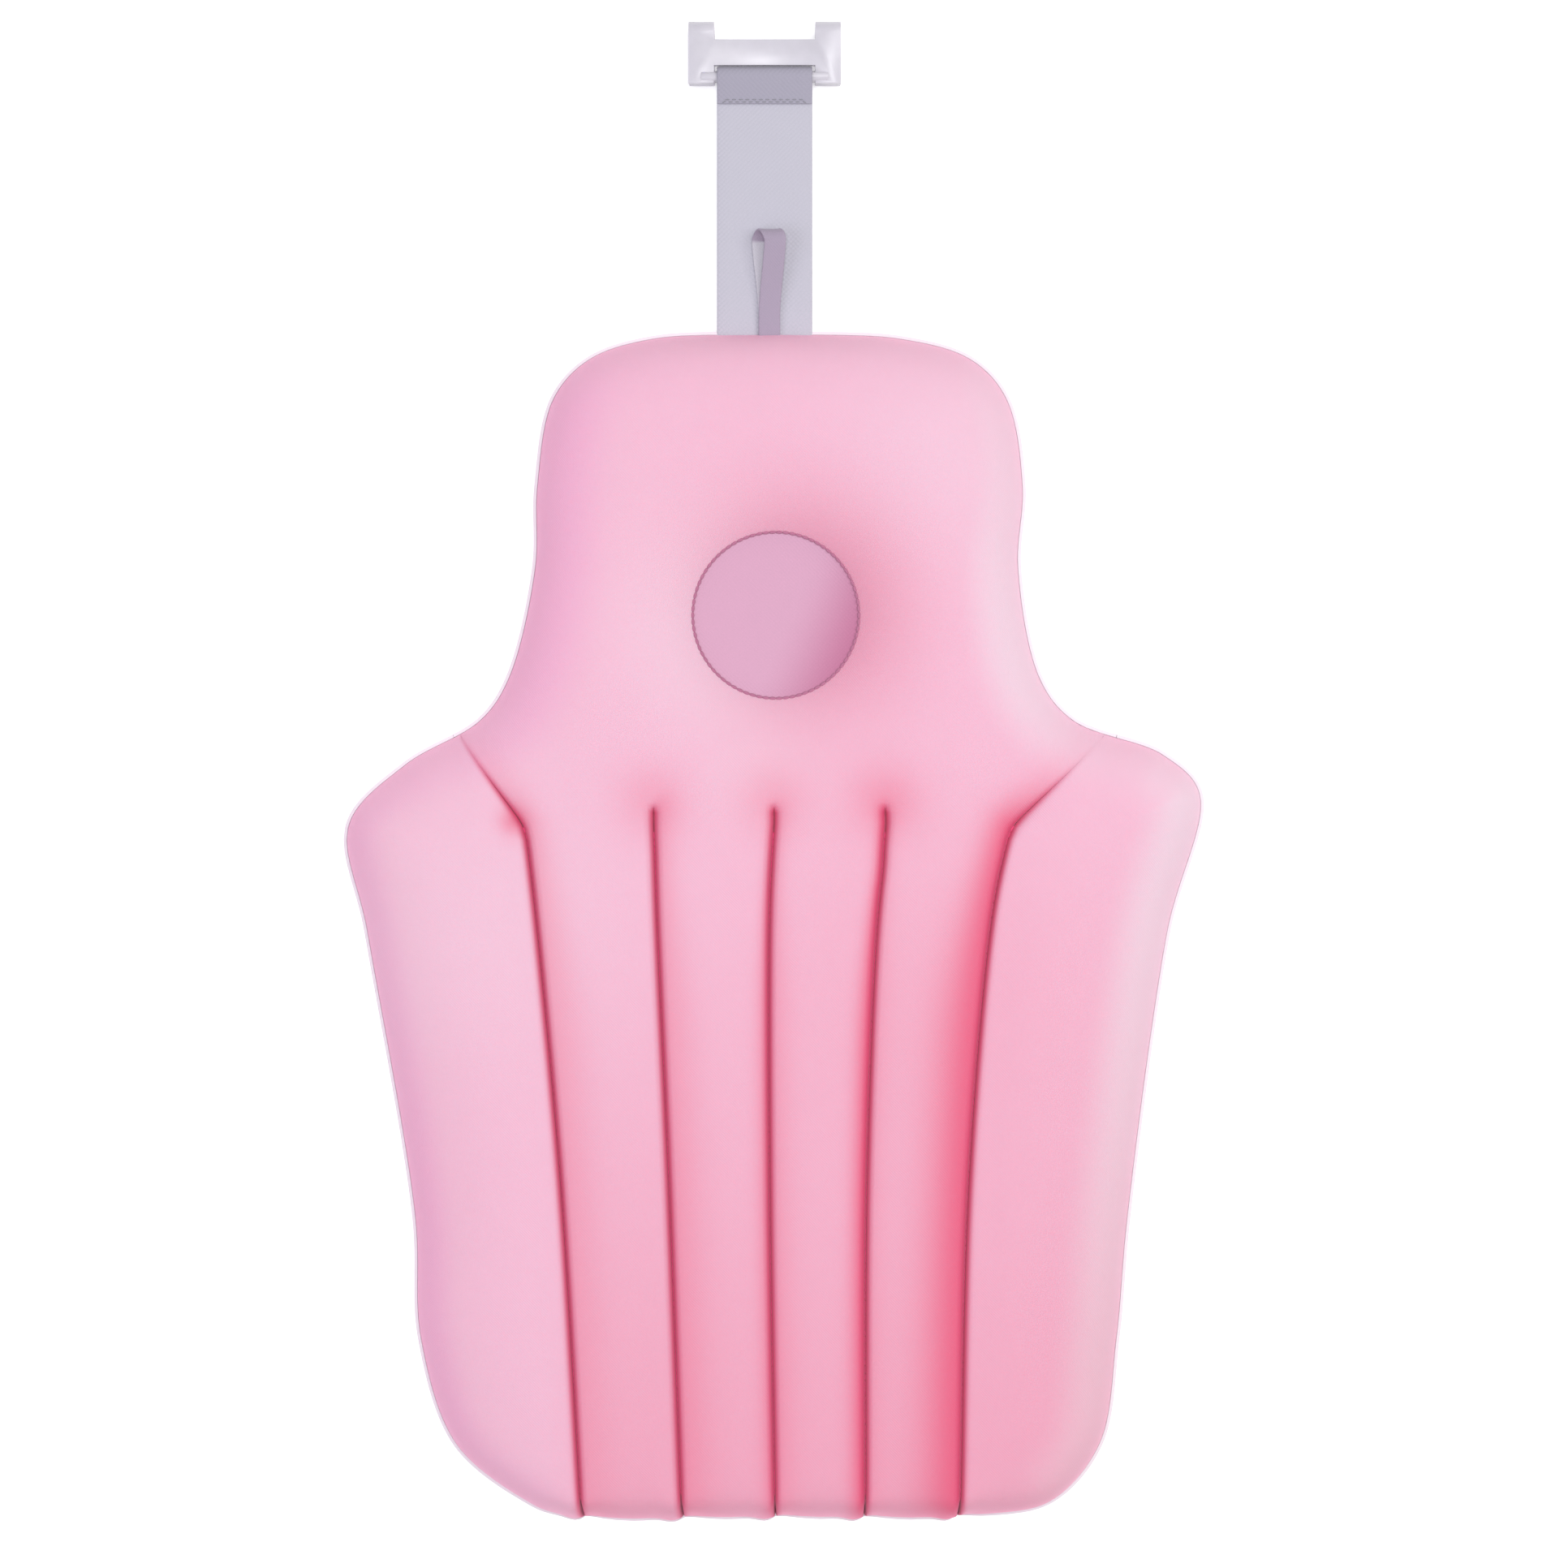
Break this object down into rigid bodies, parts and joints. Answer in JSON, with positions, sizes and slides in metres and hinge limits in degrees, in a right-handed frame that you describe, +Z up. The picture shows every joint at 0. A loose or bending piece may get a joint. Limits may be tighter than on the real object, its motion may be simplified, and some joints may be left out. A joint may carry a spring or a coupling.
{
  "type": "bath pillow",
  "caption": "Soft padded bath support with a round head recess, quilted back channels, folding side wings, and a webbing strap with a rim hook and drying loop.",
  "frame": {"origin": "on the flat back, on the centre line, midway along the padded part", "axes": "+X to the right seen from the front, +Y along the pillow towards the hook, +Z up from the back to the front face"},
  "size_m": [0.3597, 0.6276, 0.0467],
  "materials": {
    "front_cloth": "matte brushed knit, pink",
    "recess_cloth": "smooth knit, lilac pink",
    "back_cloth": "matte knit, pale pink grey",
    "filling": "polyester fibre",
    "seam_thread": "dark rose thread",
    "webbing": "woven webbing, pale lavender grey",
    "loop_tape": "woven tape, mauve",
    "hook_plastic": "satin white moulding"
  },
  "bodies": {
    "pad": {"centre_front_cover": "front_cloth", "head_recess_panel": "recess_cloth", "centre_back_cover": "back_cloth", "head_filling": "filling", "channel_filling_1": "filling", "channel_filling_2": "filling", "channel_filling_3": "filling", "channel_filling_4": "filling", "head_recess_thread": "seam_thread", "channel_seam_thread_1": "seam_thread", "channel_seam_thread_2": "seam_thread", "channel_seam_thread_3": "seam_thread", "strap_sewn_end": "webbing", "loop_sewn_end": "loop_tape"},
    "left_wing": {"left_wing_front_cover": "front_cloth", "left_wing_back_cover": "back_cloth", "left_wing_filling": "filling", "left_wing_seam_thread": "seam_thread"},
    "right_wing": {"right_wing_front_cover": "front_cloth", "right_wing_back_cover": "back_cloth", "right_wing_filling": "filling", "right_wing_seam_thread": "seam_thread"},
    "strap": {"hanging_strap": "webbing", "strap_bar_tack": "webbing"},
    "hook": {"rim_hook": "hook_plastic"},
    "loop": {"drying_loop": "loop_tape"}
  },
  "joints": [
    {"name": "left_wing_fold", "type": "hinge", "parent": "pad", "child": "left_wing", "pos_m": [-0.1036, 0.041, 0.00165], "axis": [-0.0835, 0.9965, 0], "range_deg": [0, 30]},
    {"name": "right_wing_fold", "type": "hinge", "parent": "pad", "child": "right_wing", "pos_m": [0.0984, 0.041, 0.00165], "axis": [-0.0746, -0.9972, 0], "range_deg": [0, 30]},
    {"name": "strap_fold", "type": "hinge", "parent": "pad", "child": "strap", "pos_m": [-0.004, 0.2516, 0.02], "axis": [1, 0, 0], "range_deg": [-90, 0]},
    {"name": "hook_swing", "type": "hinge", "parent": "strap", "child": "hook", "pos_m": [-0.004, 0.3555, 0.02], "axis": [1, 0, 0], "range_deg": [-110, 100]},
    {"name": "loop_lift", "type": "hinge", "parent": "pad", "child": "loop", "pos_m": [-0.002, 0.2516, 0.0221], "axis": [1, 0, 0], "range_deg": [0, 90]}
  ]
}
